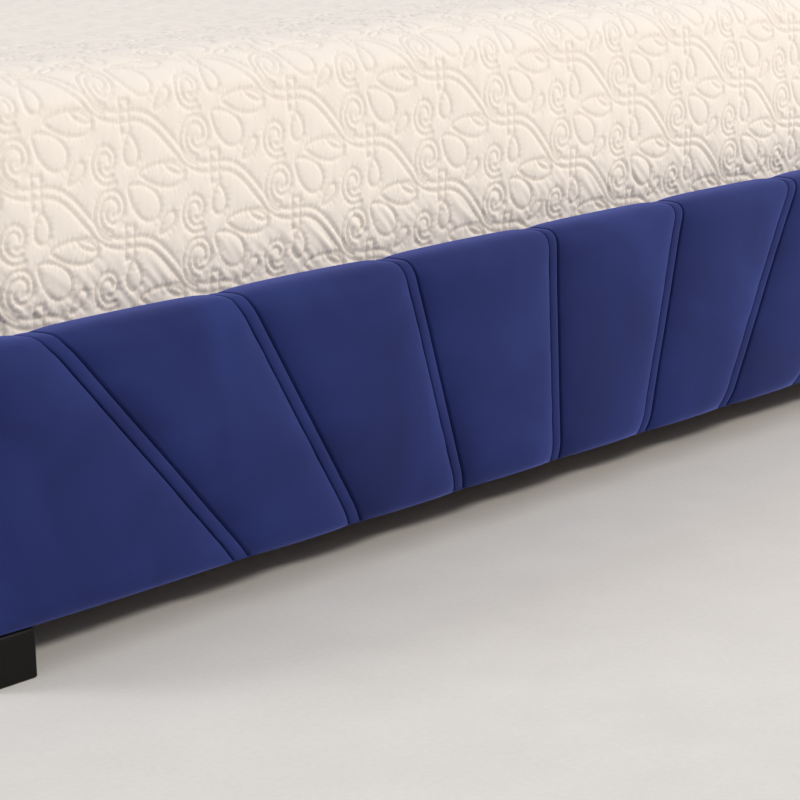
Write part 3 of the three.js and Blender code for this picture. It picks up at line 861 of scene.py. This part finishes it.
easing = {  # the width in mm for a node with this in its name; the last that fits holds
    "slat": 1.5, "_ledger": 1.5, "beam": 2, "_rail": 1.5, "_post": 1.5, "_board": 1, "_leg": 1,
    "_bracket": 0.5, "_hanger": 0.5,
}
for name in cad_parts:
    widths = [width for part, width in easing.items() if part in name]
    if widths and not name.endswith(("_cover", "_foam")):
        trimNode(name, widths[-1])


# fittings that are only for the eye

tapes = dict(wide=34, thick=0.45, above=0.05, sag=1.6, step=6, out=300)  # in mm


def slatTape(name, middle):
    # A flat woven tape lying on the slats and sagging between them by sag * sin(pi * share of the gap) ^ 2.
    slats = [nodeBox(node) for node in sorted(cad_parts) if node.startswith("slat")]
    top = slats[0][1][2]
    pitch = slats[1][0][1] - slats[0][0][1]
    slatWidth = slats[0][1][1] - slats[0][0][1]
    ys = evenly(slats[0][0][1], slats[-1][1][1], tapes["step"])
    gap = ((ys - slats[0][0][1]) % pitch - slatWidth) / (pitch - slatWidth)
    sag = tapes["sag"] * np.sin(np.pi * np.clip(gap, 0, 1)) ** 2
    half, thick = tapes["wide"] / 2, tapes["thick"]
    corners = [(-half, 0), (half, 0), (half, thick), (-half, thick)]
    under = top + tapes["above"] - sag
    lines = [np.stack([np.full_like(ys, middle + x), ys, under + z], -1) for x, z in corners]
    last = 4 * len(ys) - 1
    faces = tubeFaces(len(ys), 4, closed=False) + [[0, 1, 2, 3], [last, last - 1, last - 2, last - 3]]
    makePiece(name, np.stack(lines, 1) * mm, faces, webbing, "frame", "mattress_ticking", smooth=False)


slatTape("left_slat_tape", -tapes["out"])
slatTape("right_slat_tape", tapes["out"])


screws = dict(  # in mm, but for the counts, rings and lifts, which are shares of the radius and the dome
    radius=4.0, dome=1.8, sides=24, rings=[1.0, 1.0, 0.97, 0.88, 0.7, 0.5, 0.35, 0.22, 0.1],
    lifts=[0.0, 0.5, 0.75, 0.88, 0.97, 1, 1, 1, 1], slotDeep=0.9, slotWide=0.45, slotReach=0.6,
    ledgerEnd=80, ledgerCount=8, flange=4, aside=6, inset=18,
)


def screwHeads(name, places, outward):
    # Pan heads: a round profile turned about the screw, with a cross sunk into its middle by
    # deep * exp(-(distance from the nearer arm / wide) ^ 2). places are in mm.
    look, count, sides = screws, len(screws["rings"]), screws["sides"]
    rings, lifts = np.array(look["rings"])[:, None], np.array(look["lifts"])[:, None] * look["dome"]
    angle = np.radians(np.arange(sides) * 360 / sides)
    x, y = rings * look["radius"] * np.cos(angle), rings * look["radius"] * np.sin(angle)
    cross = np.exp(-(np.minimum(np.abs(x), np.abs(y)) / look["slotWide"]) ** 2) * (rings < look["slotReach"])
    z = lifts - look["slotDeep"] * cross
    outward = np.array(outward, float)
    side = np.cross(outward, [0, 0, 1])
    head = x[..., None] * side + y[..., None] * np.cross(outward, side) + z[..., None] * outward
    head = head.reshape(-1, 3)
    quads = gridFaces(count, sides + 1)
    quads = quads // (sides + 1) * sides + quads % (sides + 1) % sides  # the last column is the first again
    faces, points = [], []
    for number, place in enumerate(places):
        shift = number * len(head)
        points.append(head + place)
        faces += (quads + shift).tolist()
        faces.append([shift + i for i in range(sides - 1, -1, -1)])
        faces.append([shift + (count - 1) * sides + i for i in range(sides)])
    makePiece(name, np.concatenate(points) * mm, faces, zincSteel, "frame", "zinc_steel")


for side, way in (("left", 1), ("right", -1)):
    low, high = nodeBox(side + "_rail_ledger")
    inner = high[0] if way > 0 else low[0]
    along = np.linspace(low[1] + screws["ledgerEnd"], high[1] - screws["ledgerEnd"], screws["ledgerCount"])
    screwHeads(side + "_ledger_screws", [(inner, y, (low[2] + high[2]) / 2) for y in along], (way, 0, 0))
    for end, inward in (("foot", 1), ("head", -1)):
        low, high = nodeBox(f"{end}_{side}_bracket")
        flangeX = low[0] + screws["flange"] if way > 0 else high[0] - screws["flange"]
        flangeY = low[1] + screws["flange"] if inward > 0 else high[1] - screws["flange"]
        middle = (low + high) / 2
        railSpot = (flangeX, middle[1] + inward * screws["aside"], high[2] - screws["inset"])
        endSpot = (middle[0] + way * screws["aside"], flangeY, low[2] + screws["inset"])
        screwHeads(f"{end}_{side}_rail_screw", [railSpot], (way, 0, 0))
        screwHeads(f"{end}_{side}_end_screw", [endSpot], (0, inward, 0))
print("fittings made")


# floor, light and camera

studio = dict(  # the floor's reach in metres, and the sky's strength from the horizon up to skyHigh
    reach=30, sky="eef1f7", horizon=0.3, zenith=0.66, skyHigh=0.7,
)


def studioFloor():
    reach = studio["reach"]
    mesh = bpy.data.meshes.new("studioFloor")
    corners = [(-reach, -reach, 0), (reach, -reach, 0), (reach, reach, 0), (-reach, reach, 0)]
    mesh.from_pydata(corners, [], [(0, 1, 2, 3)])
    floor = bpy.data.objects.new("studioFloor", mesh)
    bpy.context.scene.collection.objects.link(floor)
    mesh.materials.append(speckled("paleFloor", ["dcd8d2", "e2ded8"], 6.0, (0.85, 0.95), 0.1, {}))


def addLight(name, kind, spot, aim, energy, colour, settings):
    data = bpy.data.lights.new(name, kind)
    data.energy = energy
    data.color = hexColour(colour)[:3]
    for key, value in settings.items():
        setattr(data, key, value)
    light = bpy.data.objects.new(name, data)
    light.location = spot
    x, y, z = np.array(spot, float) - np.array(aim, float)
    light.rotation_euler = (math.atan2(math.hypot(x, y), z), 0, math.atan2(x, -y))
    bpy.context.scene.collection.objects.link(light)


studioFloor()
addLight("keySun", "SUN", (2.4, -3.2, 2.2), (0, 0, 0), 1.95, "fff9f2", dict(angle=math.radians(7)))
addLight("backSun", "SUN", (-2.6, 3.0, 3.4), (0, 0, 0), 0.7, "f6f8ff", dict(angle=math.radians(25)))
addLight("sideLamp", "AREA", (2.4, -2.5, 1.2), (0.5, -1.1, 0.2), 12, "fff9f2", dict(shape="DISK", size=1.0))
world = bpy.data.worlds.new("studio")
world.use_nodes = True
background = world.node_tree.nodes["Background"]
background.inputs["Color"].default_value = hexColour(studio["sky"])
place = addNode(world.node_tree, "TexCoord").outputs["Generated"]
skyward = addNode(world.node_tree, "SeparateXYZ", {}, {"Vector": place}).outputs["Z"]
glow = addNode(world.node_tree, "MapRange", {}, {
    "Value": skyward, "From Min": 0.0, "From Max": studio["skyHigh"],
    "To Min": studio["horizon"], "To Max": studio["zenith"]})
world.node_tree.links.new(glow.outputs[0], background.inputs["Strength"])
bpy.context.scene.world = world
bpy.context.scene.view_settings.view_transform = "Standard"  # colours show as their hex values in full light

lens = dict(spot=(-2.329, -2.8151, 0.6976), yaw=50.257, pitch=11.38, roll=-1.757, focalMm=125.1, sensorMm=36)
cameraData = bpy.data.cameras.new("camera")
cameraData.lens = lens["focalMm"]
cameraData.sensor_width = lens["sensorMm"]
camera = bpy.data.objects.new("camera", cameraData)
turn = (Matrix.Rotation(-math.radians(lens["yaw"]), 4, "Z")
        @ Matrix.Rotation(math.radians(90 - lens["pitch"]), 4, "X")
        @ Matrix.Rotation(math.radians(lens["roll"]), 4, "Z"))
camera.matrix_world = Matrix.Translation(lens["spot"]) @ turn
bpy.context.scene.collection.objects.link(camera)
bpy.context.scene.camera = camera
